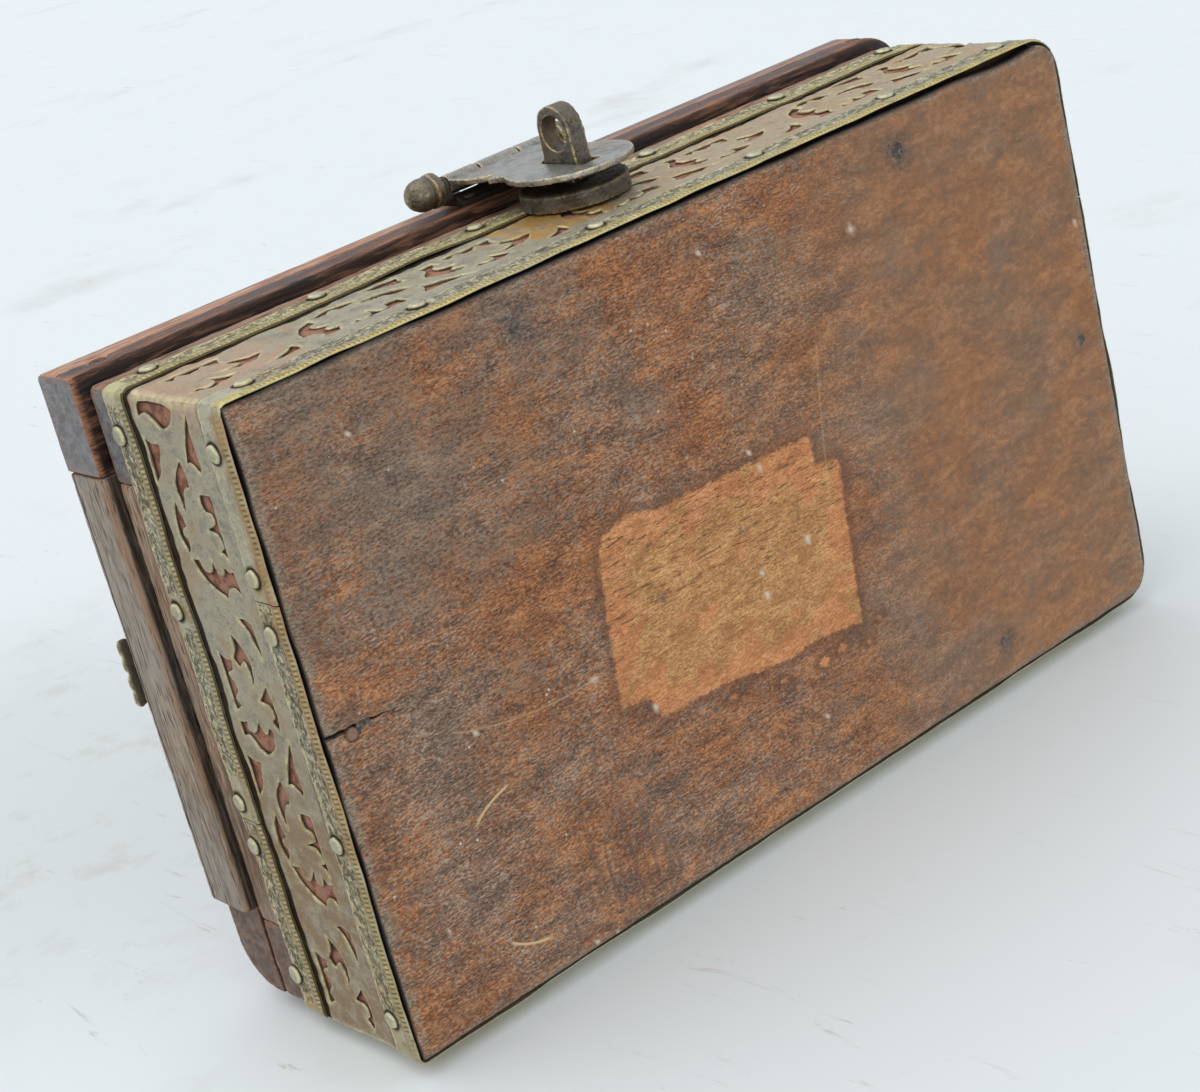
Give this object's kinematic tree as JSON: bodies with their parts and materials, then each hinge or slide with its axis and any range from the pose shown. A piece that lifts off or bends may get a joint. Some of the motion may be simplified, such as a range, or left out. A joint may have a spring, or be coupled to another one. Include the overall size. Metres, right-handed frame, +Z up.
{
  "type": "wooden chest",
  "caption": "Small rectangular wooden chest with a hinged lid, pierced vine-pattern brass bands, milled edging strips and a swinging hasp over a padlock eye.",
  "frame": {"origin": "centre of the flat underside of the bottom board", "axes": "+X to the right seen from the front, +Y from the hasp towards the hinges, +Z up"},
  "size_m": [0.247, 0.1694, 0.072],
  "materials": {
    "wood_bottom": "waxed reddish-brown plank, saw marks, iron stains",
    "wood_case": "old oiled hardwood, brown with greyed bloom",
    "wood_lid": "old oiled hardwood, reddish brown, worn edges",
    "red_backing": "faded terracotta sheet behind the openwork",
    "pierced_brass": "thin aged brass sheet, olive-grey patina, bright rims",
    "edging_brass": "aged brass strip with milled edge, worn bright",
    "tack_brass": "domed tacks, rubbed bright",
    "latch_brass": "dark cast brass, worn bright on its edges",
    "iron": "dark rusted iron"
  },
  "bodies": {
    "case": {"front_board": "wood_case", "back_board": "wood_case", "left_board": "wood_case", "right_board": "wood_case", "bottom_board": "wood_bottom", "bottom_nails": "iron", "case_corner_nails": "iron", "front_backing": "red_backing", "back_backing": "red_backing", "left_backing": "red_backing", "right_backing": "red_backing", "front_pierced_band": "pierced_brass", "back_pierced_band": "pierced_brass", "left_pierced_band": "pierced_brass", "right_pierced_band": "pierced_brass", "lower_edging_front": "edging_brass", "lower_edging_back": "edging_brass", "upper_edging_front": "edging_brass", "upper_edging_back": "edging_brass", "lower_edging_tacks": "tack_brass", "upper_edging_tacks": "tack_brass", "latch_collar": "latch_brass", "latch_staple": "latch_brass", "staple_rove": "latch_brass", "left_hinge_case_leaf": "latch_brass", "right_hinge_case_leaf": "latch_brass", "left_hinge_pin": "latch_brass", "right_hinge_pin": "latch_brass", "hinge_case_tacks": "tack_brass"},
    "lid": {"lid_front_rail": "wood_lid", "lid_back_rail": "wood_lid", "lid_left_rail": "wood_lid", "lid_right_rail": "wood_lid", "lid_top_panel": "wood_lid", "lid_corner_nails": "iron", "lid_panel_nails": "iron", "lid_strap": "edging_brass", "lid_strap_tacks": "tack_brass", "hasp_bracket": "latch_brass", "hasp_bracket_tacks": "tack_brass", "left_hinge_lid_leaf": "latch_brass", "right_hinge_lid_leaf": "latch_brass", "hinge_lid_tacks": "tack_brass"},
    "hasp": {"hasp_plate": "latch_brass", "hasp_pin": "latch_brass", "hasp_left_finial": "latch_brass", "hasp_right_finial": "latch_brass"}
  },
  "joints": [
    {"name": "lid_hinge", "type": "hinge", "parent": "case", "child": "lid", "pos_m": [0, 0.07385, 0.0532], "axis": [-1, 0, 0], "range_deg": [0, 180]},
    {"name": "hasp_swing", "type": "hinge", "parent": "lid", "child": "hasp", "pos_m": [-0.0035, -0.07975, 0.0594], "axis": [-1, 0, 0], "range_deg": [0, 195]}
  ]
}
